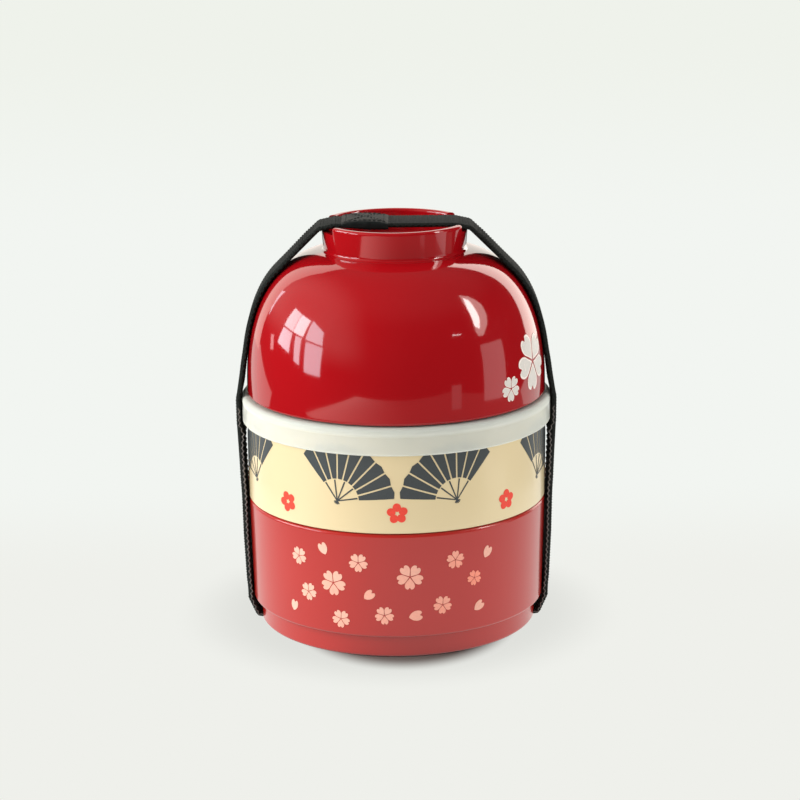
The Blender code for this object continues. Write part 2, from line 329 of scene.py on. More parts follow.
def lacquered_red(name, light, dark, roughness, coat_roughness):
    """Gloss-painted ABS: a deep even red with a faint orange peel, a little dust and a wet top coat."""
    material, tree, shader, place = surface(
        name, Roughness=roughness, IOR=1.5, Coat_Weight=0.8, Coat_Roughness=coat_roughness)
    body = mixed(tree, cloud(tree, place, 35, 2.0), dark, light)
    # Dust about 0.25 mm across, drawn twice as coarse so that it shows
    dust = add(tree, "ShaderNodeTexVoronoi", {"Vector": place, "Scale": per_mm(3.2)})
    speck = mapped(tree, dust, 0.05, 0.085, 1.0, 0.0)
    few = maths(tree, "GREATER_THAN", dust.node.outputs["Color"], 0.93)
    faint = maths(tree, "MULTIPLY", maths(tree, "MULTIPLY", speck, few), 0.45)
    wire(mixed(tree, faint, body, "#F0C0B4"), shader, "Base Color")
    bump(tree, shader, cloud(tree, place, 6, 1.0), 0.12, 0.05, ("Normal", "Coat Normal"))
    return material


def cream_abs():
    """Moulded ABS, painted cream: warm, softly glossy, with a faint mottle and moulding texture."""
    material, tree, shader, place = clouded(
        "painted_cream_abs", 25, 3.0, "#E2CC9F", "#E7D4AA",
        Roughness=0.32, IOR=1.5, Coat_Weight=0.7, Coat_Roughness=0.14)
    bump(tree, shader, cloud(tree, place, 0.8, 2.0), 0.08, 0.05)
    return material


def milky_polyethylene():
    """Moulded white polyethylene: light sinks in, and what lies behind shows as a cool, pale shade."""
    material, tree, shader, place = surface(
        "milky_polyethylene", Roughness=0.5, IOR=1.51, Specular_IOR_Level=0.35, Subsurface_Weight=0.4,
        Subsurface_Radius=(1.0, 1.0, 0.9), Subsurface_Scale=mm(2.5))
    body = mixed(tree, cloud(tree, place, 18, 3.0), "#D9DBD1", "#E1E2D9")
    # The plate and its top round are painted a darker, cooler colour: a painted shade under the bowl.
    up = axis(tree, place, "Z")
    height = mapped(tree, up, mm(LID_UNDERSIDE - 1.0), mm(LID_TOP))
    wire(mixed(tree, height, body, "#B9BCB4"), shader, "Base Color")
    # The skirt's lower edge and the plate are seen through more stuff than the skirt's wall
    edge = mapped(tree, up, mm(LID_LOW.z + 0.15), mm(LID_LOW.z + 0.7), 1.0, LID_DENSITY)
    plate = mapped(tree, up, mm(LID_UNDERSIDE - 3.0), mm(LID_UNDERSIDE - 0.5), 0.0, 0.95)
    # It scatters most of the light on to what lies behind, so it throws only a faint shadow
    shadow = add(tree, "ShaderNodeLightPath", out="Is Shadow Ray")
    kept = maths(tree, "MULTIPLY_ADD", shadow, -0.7, 1.0)
    wire(maths(tree, "MULTIPLY", maths(tree, "MAXIMUM", edge, plate), kept), shader, "Alpha")
    bump(tree, shader, cloud(tree, place, 0.6, 2.0), 0.12, 0.06)
    return material


def printed_ink(name, pale, deep):
    """Pad-printed ink: a flat colour a little less glossy than the wall, tinted by its own attribute."""
    material, tree, shader, place = surface(name, Roughness=0.38, IOR=1.5)
    tint = add(tree, "ShaderNodeAttribute", out="Fac", attribute_name="tint")
    thin = mapped(tree, cloud(tree, place, 0.7, 2.0), 0.3, 0.7, 0.94, 1.04)
    colour = vectors(tree, "SCALE", mixed(tree, tint, pale, deep), Scale=thin)
    wire(colour, shader, "Base Color")
    return material


def woven_elastic():
    """Knitted polyester over rubber, dyed black: matt, greyed by lint, with a sheen along the ribs."""
    material, tree, shader, place = surface(
        "woven_black_elastic", Roughness=0.8, IOR=1.46, Specular_IOR_Level=0.12,
        Sheen_Weight=0.04, Sheen_Roughness=0.5)
    along = add(tree, "ShaderNodeAttribute", out="Fac", attribute_name="along")
    weave = add(tree, "ShaderNodeCombineXYZ", {0: along, 1: axis(tree, place, "Y")})
    lint = cloud(tree, weave, 0.9, 4.0, Roughness=0.7)
    wire(mixed(tree, lint, "#0A0C0B", "#282B28"), shader, "Base Color")
    yarn = add(tree, "ShaderNodeTexWave", {
        "Vector": weave, "Scale": per_mm(0.9) / 3, "Distortion": 2.0, "Detail": 2.0},
        out="Fac", bands_direction="Y")
    bump(tree, shader, yarn, 0.6, 0.12)
    return material


def core_yarn():
    """The undyed binding yarn that shows along the belt's edges: grey, fluffy and matt."""
    return clouded("grey_core_yarn", 0.5, 3.0, "#2E2B2A", "#857C78", Roughness=0.9, IOR=1.46)[0]


def grained_leathercloth():
    """Black PVC leathercloth: pebbled grain under 1 mm, with a painted cool grey sheen on its high spots."""
    material, tree, shader, place = surface(
        "grained_black_leathercloth", Roughness=0.45, IOR=1.5, Specular_IOR_Level=0.05)
    pebble = add(tree, "ShaderNodeTexVoronoi", {"Vector": place, "Scale": per_mm(0.75)})
    crease = cloud(tree, place, 3, 4.0)
    # The base colour is lighter where the creases stand high: a painted sheen
    wire(mixed(tree, crease, "#0B0E0E", "#272B2A"), shader, "Base Color")
    bump(tree, shader, maths(tree, "MULTIPLY_ADD", pebble, 0.6, crease), 0.7, 0.12)
    return material


def sewing_thread():
    """Black spun polyester thread: slightly lighter than the cloth, with its twist too fine to show."""
    return clouded("black_sewing_thread", 0.3, 1.0, "#101111", "#343837",
                   Roughness=0.6, Specular_IOR_Level=0.2)[0]


def outline(points):
    """Points (radius, height) of an outline whose corners (radius, height, round) are filleted.

    Beside a fillet a straight run gets one more point, so that its shading stays straight.
    """
    def corner_at(index):
        """Directions from a corner to its neighbours, half the angle there, and the fillet's reach."""
        corner = Vector(points[index][:2])
        before = (Vector(points[index - 1][:2]) - corner).normalized()
        after = (Vector(points[(index + 1) % len(points)][:2]) - corner).normalized()
        half = before.angle(after) / 2
        return corner, before, after, half, points[index][2] / math.tan(half)

    def reach_of(index):
        return corner_at(index)[4] if len(points[index]) > 2 else 0.0

    result = []
    for index, point in enumerate(points):
        if len(point) < 3:
            result.append(Vector(point))
            continue
        corner, before, after, half, reach = corner_at(index)
        centre = corner + (before + after).normalized() * (point[2] / math.sin(half))
        first = corner + before * reach - centre
        last = corner + after * reach - centre
        arc = [centre + first.slerp(last, step / FILLET_STEPS) * point[2]
               for step in range(FILLET_STEPS + 1)]
        for way, other, place in ((before, index - 1, 0), (after, (index + 1) % len(points), len(arc) + 1)):
            room = (Vector(points[other][:2]) - corner).length - reach - reach_of(other)
            if room > 4 * SUPPORT:
                arc.insert(place, corner + way * (reach + SUPPORT))
        result += arc
    return result


def linked(name, data):
    """A new object of the scene."""
    made = bpy.data.objects.new(name, data)
    bpy.context.scene.collection.objects.link(made)
    return made


def mesh_of(name, shape):
    """Turns a bmesh into a mesh, and frees it."""
    mesh = bpy.data.meshes.new(name)
    shape.to_mesh(mesh)
    shape.free()
    return mesh


def smoothed(mesh):
    """Shades a mesh smooth, but for its sharp edges."""
    mesh.shade_smooth()
    mesh.set_sharp_from_angle(angle=SHARP_ANGLE)


def as_piece(name, shape, material):
    """Turns a bmesh into a smooth-shaded object of one material."""
    mesh = mesh_of(name, shape)
    smoothed(mesh)
    mesh.materials.append(material)
    return linked(name, mesh)


def turned(points):
    """A bmesh of the solid that a half outline from axis to axis makes when turned about Z."""
    shape = bmesh.new()
    verts = [shape.verts.new((mm(p.x), 0.0, mm(p.y))) for p in points]
    edges = [shape.edges.new(pair) for pair in zip(verts, verts[1:])]
    bmesh.ops.spin(shape, geom=verts + edges, cent=(0, 0, 0), axis=(0, 0, 1),
                   angle=math.tau, steps=TURN_STEPS, use_merge=True)
    bmesh.ops.remove_doubles(shape, verts=shape.verts, dist=mm(MERGE))
    bmesh.ops.recalc_face_normals(shape, faces=shape.faces)
    return shape


def notch_cutter(width, low, high, reach, turn):
    """A bar along X, turned about Z, with its four long edges rounded."""
    shape = bmesh.new()
    size = Matrix.Diagonal((mm(2 * reach), mm(width), mm(high - low), 1.0))
    place = Matrix.Rotation(turn, 4, "Z") @ Matrix.Translation((0, 0, mm((low + high) / 2)))
    bmesh.ops.create_cube(shape, size=1.0, matrix=place @ size)
    along = Matrix.Rotation(turn, 3, "Z") @ Vector((1, 0, 0))
    long_edges = [e for e in shape.edges
                  if abs((e.verts[1].co - e.verts[0].co).dot(along)) > mm(reach)]
    bmesh.ops.bevel(shape, geom=long_edges, offset=mm(NOTCH_ROUND), segments=FILLET_STEPS,
                    profile=0.5, affect="EDGES")
    return as_piece("cutter", shape, None)


def applied(piece):
    """Gives the object its evaluated mesh, and removes its modifiers."""
    depsgraph = bpy.context.evaluated_depsgraph_get()
    mesh = bpy.data.meshes.new_from_object(piece.evaluated_get(depsgraph), depsgraph=depsgraph)
    piece.modifiers.clear()
    piece.data = mesh
    return piece


def notched(piece, cutter, edge_round):
    """Cuts the piece with the cutter, and softens the edges that the cut leaves."""
    cut = piece.modifiers.new("cut", "BOOLEAN")
    cut.operation = "DIFFERENCE"
    cut.solver = "EXACT"
    cut.object = cutter
    soften = piece.modifiers.new("soften", "BEVEL")
    soften.width = mm(edge_round)
    soften.segments = 3
    soften.limit_method = "ANGLE"
    soften.angle_limit = SHARP_ANGLE
    applied(piece)
    bpy.data.objects.remove(cutter)
    smoothed(piece.data)
    return piece


def lower_tier(material):
    inner_base = BASE_RADIUS - FOOT_RIM
    floor_top = FOOT_RECESS + LOWER_FLOOR
    rim = LOWER_HIGH.z
    shape = turned(outline([
        (0.0, FOOT_RECESS),
        (inner_base, FOOT_RECESS, EDGE),
        (inner_base, 0.0, EDGE),
        (BASE_RADIUS, 0.0, RIM_ROUND),
        (BASE_RADIUS, STEP_HEIGHT, EDGE),
        (STEP_RADIUS, STEP_HEIGHT, RIM_ROUND),
        (TIER_RADIUS, rim, RIM_ROUND),
        (TIER_RADIUS - LOWER_WALL, rim, EDGE),
        (STEP_RADIUS - LOWER_WALL, floor_top, LOWER_CORNER),
        (0.0, floor_top),
    ]))
    cutter = notch_cutter(BASE_NOTCH_WIDTH, -CUTTER_MARGIN, BASE_NOTCH_DEPTH,
                          BASE_RADIUS + CUTTER_MARGIN, 0.0)
    return notched(as_piece("lower_tier_shell", shape, material), cutter, EDGE / 2)


def upper_tier(material):
    spigot_end = UPPER_LOW.z
    spigot_radius = TIER_RADIUS - LOWER_WALL - GAP
    spigot_inner = spigot_radius - SPIGOT_RIM
    underside = spigot_end + SPIGOT_RECESS
    inner = TIER_RADIUS - UPPER_WALL
    rim = UPPER_HIGH.z
    shape = turned(outline([
        (0.0, underside),
        (spigot_inner, underside, EDGE),
        (spigot_inner, spigot_end, EDGE),
        (spigot_radius, spigot_end, EDGE),
        (spigot_radius, UPPER_SHOULDER),
        (TIER_RADIUS, UPPER_SHOULDER, EDGE),
        (TIER_RADIUS, rim, EDGE),
        (inner, rim, EDGE),
        (inner, underside + UPPER_FLOOR, UPPER_CORNER),
        (0.0, underside + UPPER_FLOOR),
    ]))
    return as_piece("upper_tier_shell", shape, material)


def inner_lid(material):
    skirt_inner = LID_RADIUS - LID_SKIRT_WALL
    plug = TIER_RADIUS - UPPER_WALL - GAP
    plug_end = LID_UNDERSIDE - PLUG_DEPTH
    locator = BOWL_RADIUS - BOWL_WALL - GAP
    locator_top = LID_TOP + LOCATOR_HEIGHT
    shape = turned(outline([
        (0.0, LID_UNDERSIDE),
        (plug - PLUG_WALL, LID_UNDERSIDE, EDGE),
        (plug - PLUG_WALL, plug_end, EDGE),
        (plug, plug_end, EDGE),
        (plug, LID_UNDERSIDE),
        (skirt_inner, LID_UNDERSIDE),
        (skirt_inner, LID_LOW.z, EDGE),
        (LID_RADIUS, LID_LOW.z, EDGE),
        (LID_RADIUS, LID_TOP, LID_EDGE),
        (locator, LID_TOP),
        (locator, locator_top, EDGE),
        (locator - LOCATOR_WALL, locator_top, EDGE),
        (locator - LOCATOR_WALL, LID_TOP),
        (0.0, LID_TOP),
    ]))
    return as_piece("inner_lid_shell", shape, material)


def bowl_curve(radius, depth, end_radius):
    """The bowl's superellipse from its side up to end_radius, as (radius, height) points."""
    last = math.acos((end_radius / radius) ** (BOWL_SIDE_POWER / 2))
    curve = []
    for step in range(BOWL_STEPS + 1):
        angle = last * step / BOWL_STEPS
        across = radius * math.cos(angle) ** (2 / BOWL_SIDE_POWER)
        up = depth * math.sin(angle) ** (2 / BOWL_CROWN_POWER)
        curve.append((across, BOWL_SHOULDER + up))
    return curve


def bowl_outside():
    return bowl_curve(BOWL_RADIUS, BOWL_DEPTH, RING_BASE_RADIUS + RING_FILLET)


def bowl(material):
    inner_radius = BOWL_RADIUS - BOWL_WALL
    inner_depth = BOWL_DEPTH - BOWL_CROWN_WALL
    outside = bowl_outside()
    inside = bowl_curve(inner_radius, inner_depth, RING_BASE_RADIUS / 2)
    ring_foot = outside[-1][1]
    ring_inner_top = RING_TOP_RADIUS - RING_WALL
    ring_inner_base = RING_BASE_RADIUS - RING_WALL
    shape = turned(outline(
        [(0.0, BOWL_SHOULDER + inner_depth)]
        + inside[::-1]
        + [
            (inner_radius, BOWL_LOW.z, EDGE),
            (BOWL_RADIUS, BOWL_LOW.z, RIM_ROUND),
        ]
        + outside[:-1]
        + [
            (RING_BASE_RADIUS, ring_foot, RING_FILLET),
            (RING_TOP_RADIUS, RING_TOP, RIM_ROUND),
            (ring_inner_top, RING_TOP, RIM_ROUND),
            (ring_inner_base, BOWL_CROWN, RING_FILLET),
            (0.0, BOWL_CROWN),
        ]
    ))
    cutter = notch_cutter(BELT_WIDTH + 2 * NOTCH_ROOM, NOTCH_FLOOR, RING_TOP + CUTTER_MARGIN,
                          RING_TOP_RADIUS + CUTTER_MARGIN, BOWL_TURN)
    return notched(as_piece("bowl_shell", shape, material), cutter, NOTCH_EDGE_ROUND)


def mirrored(half):
    """A closed outline from its right half, whose first and last points lie on the middle line."""
    return half + [Vector((-p.x, p.y)) for p in reversed(half[1:-1])]


def petal():
    """A cherry petal of length 1 that points up from (0, 0), with straight sides and a notched tip."""
    round_end = interpolate_bezier((0.3, 0.46), (0.47, 0.68), (0.36, 1.04), (0.12, 1.0), 9)
    return mirrored([Vector((0.0, 0.07))] + [Vector(p[:2]) for p in round_end] + [Vector((0.0, 0.85))])


def loose_petal():
    """A single fallen petal of length 1 round (0, 0), plump and with a small notch."""
    widest = (0.4, 0.12)
    lower = interpolate_bezier((0.0, -0.5), (0.14, -0.44), (0.4, -0.2), widest, 7)
    upper = interpolate_bezier(widest, (0.4, 0.36), (0.3, 0.54), (0.14, 0.5), 7)
    return mirrored([Vector(p[:2]) for p in lower + upper[1:]] + [Vector((0.0, 0.32))])


def plum_petal():
    """A round plum petal of length 1 that points up from (0, 0)."""
    round_petal = interpolate_bezier((0.0, 0.16), (0.62, 0.3), (0.42, 1.0), (0.0, 1.0), 10)
    return mirrored([Vector(p[:2]) for p in round_petal])


def petal_turns(first):
    """The turns of a flower's five petals in radians, from the first petal's in degrees."""
    return [math.radians(first + 72 * index) for index in range(5)]


def placed(points, size, turn):
    """Flat points made larger and turned clockwise."""
    spin = Matrix.Rotation(-turn, 2)
    return [spin @ (p * size) for p in points]


def on_tier(radius_at):
    """Maps a flat point, in millimetres round and up from (azimuth, height), onto a turned wall."""
    def lay(azimuth, height, point, out):
        radius = radius_at(height + point.y)
        angle = math.radians(azimuth) + point.x / radius
        reach = radius + out
        return Vector((reach * math.sin(angle), -reach * math.cos(angle), height + point.y))
    return lay


def on_bowl():
    """The same for the bowl, where up is measured along its curve."""
    curve = np.array([(BOWL_RADIUS, BOWL_LOW.z)] + bowl_outside())
    runs = np.concatenate([[0], np.cumsum(np.hypot(*np.diff(curve, axis=0).T))])

    def lay(azimuth, height, point, out):
        run = np.interp(height, curve[:, 1], runs) + point.y
        radius = np.interp(run, runs, curve[:, 0])
        level = np.interp(run, runs, curve[:, 1])
        slope = (np.interp(run + 0.1, runs, curve[:, 0]) - radius) / 0.1
        angle = math.radians(azimuth) + point.x / radius
        reach = radius + out * math.sqrt(max(0.0, 1 - slope * slope))
        return Vector((reach * math.sin(angle), -reach * math.cos(angle), level - out * slope))
    return lay


def print_on(name, shapes, lay, material):
    """Lays flat shapes (outline, azimuth, height, tint) on a wall as thin films of ink."""
    shape = bmesh.new()
    tint = shape.verts.layers.float.new("tint")
    for points, azimuth, height, depth in shapes:
        flat = bmesh.new()
        flat.faces.new([flat.verts.new((p.x, p.y, 0.0)) for p in points])
        # Without its normal a notched outline would be filled across the notch
        flat.normal_update()
        bmesh.ops.triangulate(flat, faces=flat.faces, ngon_method="EAR_CLIP")
        wide = [e for e in flat.edges if abs(e.verts[0].co.x - e.verts[1].co.x) > INK_STEP]
        bmesh.ops.subdivide_edges(flat, edges=wide, cuts=2, use_grid_fill=True)
        flat.normal_update()
        bmesh.ops.triangulate(flat, faces=flat.faces, ngon_method="EAR_CLIP")
        made = {}
        for vert in flat.verts:
            made[vert] = shape.verts.new(lay(azimuth, height, vert.co.xy, INK_HEIGHT) * METRES)
            made[vert][tint] = depth
        for face in flat.faces:
            shape.faces.new([made[v] for v in face.verts])
        flat.free()
    bmesh.ops.recalc_face_normals(shape, faces=shape.faces)
    for face in shape.faces:
        outward = face.calc_center_median()
        if face.normal.dot(Vector((outward.x, outward.y, 0.0))) < 0:
            face.normal_flip()
    ink = as_piece(name, shape, material)
    film = ink.modifiers.new("film", "SOLIDIFY")
    film.thickness = mm(INK_THICKNESS)
    film.offset = 1.0
    applied(ink)
    ink.data.set_sharp_from_angle(angle=SHARP_ANGLE)
    return ink


def blossom_shapes(azimuth, height, size, turn, depth):
    """Five petals, the first of them straight down, the lower ones a little pinker."""
    shapes = []
    for angle in petal_turns(180 + turn):
        lower = 0.5 - 0.5 * math.cos(angle)
        shapes.append((placed(petal(), size / 2, angle), azimuth, height, depth + LOWER_TINT * lower))
    return shapes


def wall_radius(height):
    """Outside of the lower tier's drafted wall."""
    share = (height - STEP_HEIGHT) / (LOWER_HIGH.z - STEP_HEIGHT)
    return STEP_RADIUS + (TIER_RADIUS - STEP_RADIUS) * share


def blossoms_on_lower_tier(material):
    shapes = []
    for azimuth, height, size, turn, depth in BLOSSOMS:
        shapes += blossom_shapes(azimuth, height, size, turn, depth)
    for azimuth, height, size, turn, depth in PETALS:
        points = placed(loose_petal(), size, math.radians(turn))
        shapes.append((points, azimuth, height, depth))
    return print_on("lower_tier_blossoms", shapes, on_tier(wall_radius), material)


def blossoms_on_bowl(material):
    """Pale grey petals inside a slim white edge."""
    whole = petal()
    middle = Vector(PETAL_MIDDLE)
    inner = [middle + (p - middle) * PETAL_INNER for p in whole]
    shapes = []
    edge = []
    for azimuth, height, size, turn in BOWL_BLOSSOMS:
        for angle in petal_turns(180 + turn):
            edge.append((placed(whole, size / 2, angle), azimuth, height, 0.0))
            shapes.append((placed(inner, size / 2, angle), azimuth, height, 1.0))
    lay = on_bowl()

    def raised(azimuth, height, point, out):
        return lay(azimuth, height, point, out + INK_THICKNESS)

    rim = print_on("bowl_blossom_edges", edge, lay, material)
    return rim, print_on("bowl_blossoms", shapes, raised, material)


def fan_shapes(azimuth, turn):
    """A folding fan: pleats of an arc, parted by slim gaps, and sticks that meet at its pivot."""
    pleat = FAN_SPREAD / FAN_PLEATS
    half_far = pleat / 2 - FAN_GAP / 2 / FAN_RADIUS
    half_near = pleat / 2 - FAN_GAP / 2 / FAN_LEAF_BASE
    slim, tapered = FAN_STICK / 2, FAN_STICK * FAN_STICK_TAPER / 2
    top = FAN_LEAF_BASE - FAN_STICK_GAP
    stick = [Vector((-tapered, -FAN_TAIL)), Vector((-slim, top)), Vector((slim, top)),
             Vector((tapered, -FAN_TAIL))]
    leaves = []
    sticks = []
    for index in range(FAN_PLEATS):
        middle = turn + (index - (FAN_PLEATS - 1) / 2) * pleat
        # A pleat's outer end stands up in the middle, as folded paper does
        outer = [(FAN_RADIUS * (1.0 if s else FAN_CREST), middle + s * half_far) for s in (-1, 0, 1)]
        inner = [(FAN_LEAF_BASE, middle + s * half_near) for s in (1, 0, -1)]
        leaves.append([Vector((r * math.sin(a), r * math.cos(a))) for r, a in outer + inner])
        sticks.append(placed(stick, 1.0, middle))
    # Only every second stick, so that they part before the pivot
    return [(points, azimuth, FAN_PIVOT_HEIGHT, 0.0) for points in leaves + sticks[::2]]


def fans_on_upper_tier(ink, red_ink):
    """A frieze of folding fans with a red plum blossom between each two."""
    fans = []
    plums = []
    step = 360 / FAN_COUNT
    for index in range(FAN_COUNT):
        azimuth = FAN_FIRST + index * step
        fans += fan_shapes(azimuth, FAN_TILT if index % 2 else -FAN_TILT)
        for angle in petal_turns(20 * index):
            points = placed(plum_petal(), PLUM_SIZE / 2, angle)
            plums.append((points, azimuth + step / 2, PLUM_HEIGHT, 0.0))
    lay = on_tier(lambda height: TIER_RADIUS)
    return print_on("folding_fans", fans, lay, ink), print_on("plum_blossoms", plums, lay, red_ink)


def hull(points):
    """The convex outline of flat points, counter-clockwise."""
    ordered = sorted(set(points))

    def half(run):
        kept = []
        for point in run:
            while len(kept) > 1:
                a, b = kept[-2], kept[-1]
                turn = (b[0] - a[0]) * (point[1] - a[1]) - (b[1] - a[1]) * (point[0] - a[0])
                if turn > 0:
                    break
                kept.pop()
            kept.append(point)
        return kept[:-1]

    return half(ordered) + half(ordered[::-1])


def belt_line():
    """The belt's middle line on the +X side, from under the base to over the top."""
    side = [
        (BASE_RADIUS, BASE_NOTCH_DEPTH),
        (STEP_RADIUS, STEP_HEIGHT),
        (TIER_RADIUS, LOWER_HIGH.z),
        (TIER_RADIUS, UPPER_HIGH.z),
        (LID_RADIUS, LID_LOW.z),
        (LID_RADIUS, LID_TOP - LID_EDGE),
        (RING_TOP_RADIUS, NOTCH_FLOOR),
        (RING_TOP_RADIUS - BELT_BEND, NOTCH_FLOOR + BELT_RISE),
    ] + bowl_outside()
    corners = hull(side + [(-x, z) for x, z in side])
    line = []
    for index, corner in enumerate(corners):
        here = Vector(corner)
        before = (here - Vector(corners[index - 1])).normalized()
        after = (Vector(corners[(index + 1) % len(corners)]) - here).normalized()
        first = Vector((before.y, -before.x))
        last = Vector((after.y, -after.x))
        steps = max(1, math.ceil(first.angle(last) / BEND_STEP))
        for step in range(steps + 1):
            line.append(here + first.slerp(last, step / steps) * (BELT_GAP + BELT_THICKNESS / 2))
    right = [p for p in line if p.x > 0]
    right.sort(key=lambda p: math.atan2(p.y - RING_TOP / 2, p.x))
    return [Vector((0.0, right[0].y))] + right + [Vector((0.0, right[-1].y))]


def between(line, low, high):
    """The stretch of the line from height low to height high, with its ends put in."""
    ends = {}
    for a, b in zip(line, line[1:]):
        for level in (low, high):
            if a.y < level < b.y:
                ends[level] = a.lerp(b, (level - a.y) / (b.y - a.y))
    first = [ends[low]] if low in ends else []
    last = [ends[high]] if high in ends else []
    return first + [p for p in line if low < p.y < high] + last


def geometry_tree(name, inputs, output):
    """A new geometry tree with these inputs, by label and kind, and one output, and its inputs."""
    tree = bpy.data.node_groups.new(name, "GeometryNodeTree")
    for label, kind in inputs.items():
        tree.interface.new_socket(label, in_out="INPUT", socket_type="NodeSocket" + kind)
    tree.interface.new_socket(output, in_out="OUTPUT", socket_type="NodeSocketGeometry")
    return tree, tree.nodes.new("NodeGroupInput").outputs


def repeated(tree, spots, piece, **more):
    """Real copies of a piece at points on a curve, turned with it."""
    copies = add(tree, "GeometryNodeInstanceOnPoints", {
        "Points": spots, "Instance": piece, "Rotation": spots.node.outputs["Rotation"], **more})
    return add(tree, "GeometryNodeRealizeInstances", {0: copies})


def dyed(tree, geometry, material):
    return add(tree, "GeometryNodeSetMaterial", {"Geometry": geometry, "Material": material})


def belt_tree():
    """Band, ribs and edge yarns along a line: a geometry tree with named sizes, in metres."""
    sizes = ("Width", "Thickness", "Rib Pitch", "Rib Radius", "Rib Height", "Yarn Radius", "Yarn Swing")
    tree, given = geometry_tree("belt_weave", {
        "Line": "Geometry", **dict.fromkeys(sizes, "Float"), "Weave": "Material", "Yarn": "Material"},
        "Belt")
    pitch = given["Rib Pitch"]
    line = add(tree, "GeometryNodeMeshToCurve", {0: given["Line"]})
    run = add(tree, "GeometryNodeSplineParameter", out="Length")
    marked = add(tree, "GeometryNodeStoreNamedAttribute", {
        "Geometry": line, "Name": "along", "Value": run}, data_type="FLOAT", domain="POINT")
    path = add(tree, "GeometryNodeSetCurveNormal", {
        "Curve": marked, "Normal": (0.0, 1.0, 0.0)}, mode="FREE")

    def section(inset):
        """A rounded rectangle, inset from the belt's own width and thickness."""
        twice = maths(tree, "MULTIPLY", inset, 2.0)
        width = maths(tree, "SUBTRACT", given["Width"], twice)
        depth = maths(tree, "SUBTRACT", given["Thickness"], twice)
        quad = add(tree, "GeometryNodeCurvePrimitiveQuadrilateral", {0: width, 1: depth})
        return add(tree, "GeometryNodeFilletCurve", {
            "Curve": quad, "Radius": maths(tree, "MULTIPLY", depth, 0.49), "Count": 4}, mode="POLY")

    def round_section(radius):
        return add(tree, "GeometryNodeCurvePrimitiveCircle", {"Resolution": 6, "Radius": radius})

    def swept(curve, profile, capped):
        return add(tree, "GeometryNodeCurveToMesh", {
            "Curve": curve, "Profile Curve": profile, "Fill Caps": capped})

    band = swept(path, section(given["Rib Height"]), True)
    rib = swept(section(given["Rib Radius"]), round_section(given["Rib Radius"]), False)
    # Half a pitch of room at both ends, so that the ribs run on evenly from one stretch to the next
    length = add(tree, "GeometryNodeSplineLength")
    half_pitch = maths(tree, "MULTIPLY", pitch, 0.5)
    trimmed = add(tree, "GeometryNodeTrimCurve", {
        0: path, 4: half_pitch, 5: maths(tree, "SUBTRACT", length, half_pitch)}, mode="LENGTH")
    pitches = maths(tree, "ROUND", maths(tree, "DIVIDE", length, pitch))
    spots = add(tree, "GeometryNodeCurveToPoints", {
        "Curve": trimmed, "Count": maths(tree, "ADD", pitches, 1.0)}, mode="COUNT")
    cloth = add(tree, "GeometryNodeJoinGeometry", {0: [band, repeated(tree, spots, rib)]})

    stepped = add(tree, "GeometryNodeResampleCurve", {"Curve": path, "Length": pitch}, mode="LENGTH")
    outward = vectors(tree, "CROSS_PRODUCT", add(tree, "GeometryNodeInputTangent"), (0.0, 1.0, 0.0))
    odd = maths(tree, "MODULO", add(tree, "GeometryNodeInputIndex"), 2.0)
    sway = maths(tree, "MULTIPLY", maths(tree, "SUBTRACT", odd, 0.5), given["Yarn Swing"])
    swing = vectors(tree, "SCALE", outward, Scale=sway)
    half_width = maths(tree, "MULTIPLY", given["Width"], 0.5)
    edges = []
    for side in (-1.0, 1.0):
        aside = add(tree, "ShaderNodeCombineXYZ", {1: maths(tree, "MULTIPLY", half_width, side)})
        edges.append(add(tree, "GeometryNodeSetPosition", {
            "Geometry": stepped, "Offset": vectors(tree, "ADD", swing, aside)}))
    both = add(tree, "GeometryNodeJoinGeometry", {0: edges})
    yarns = swept(both, round_section(given["Yarn Radius"]), True)
    whole = add(tree, "GeometryNodeJoinGeometry", {
        0: [dyed(tree, cloth, given["Weave"]), dyed(tree, yarns, given["Yarn"])]})
    smooth = add(tree, "GeometryNodeSetShadeSmooth", {"Geometry": whole})
    add(tree, "NodeGroupOutput", {0: smooth})
    return tree


def grown(name, lines, tree, values):
    """Runs a geometry tree on open lines (points in millimetres), and returns a plain mesh piece."""
    shape = bmesh.new()
    for line in lines:
        verts = [shape.verts.new(Vector(p) * METRES) for p in line]
        for pair in zip(verts, verts[1:]):
            shape.edges.new(pair)
    piece = linked(name, mesh_of(name, shape))
    grow = piece.modifiers.new(tree.name, "NODES")
    grow.node_group = tree
    for item in tree.interface.items_tree:
        if item.item_type == "SOCKET" and item.in_out == "INPUT" and item.name in values:
            grow[item.identifier] = values[item.name]
    return applied(piece)


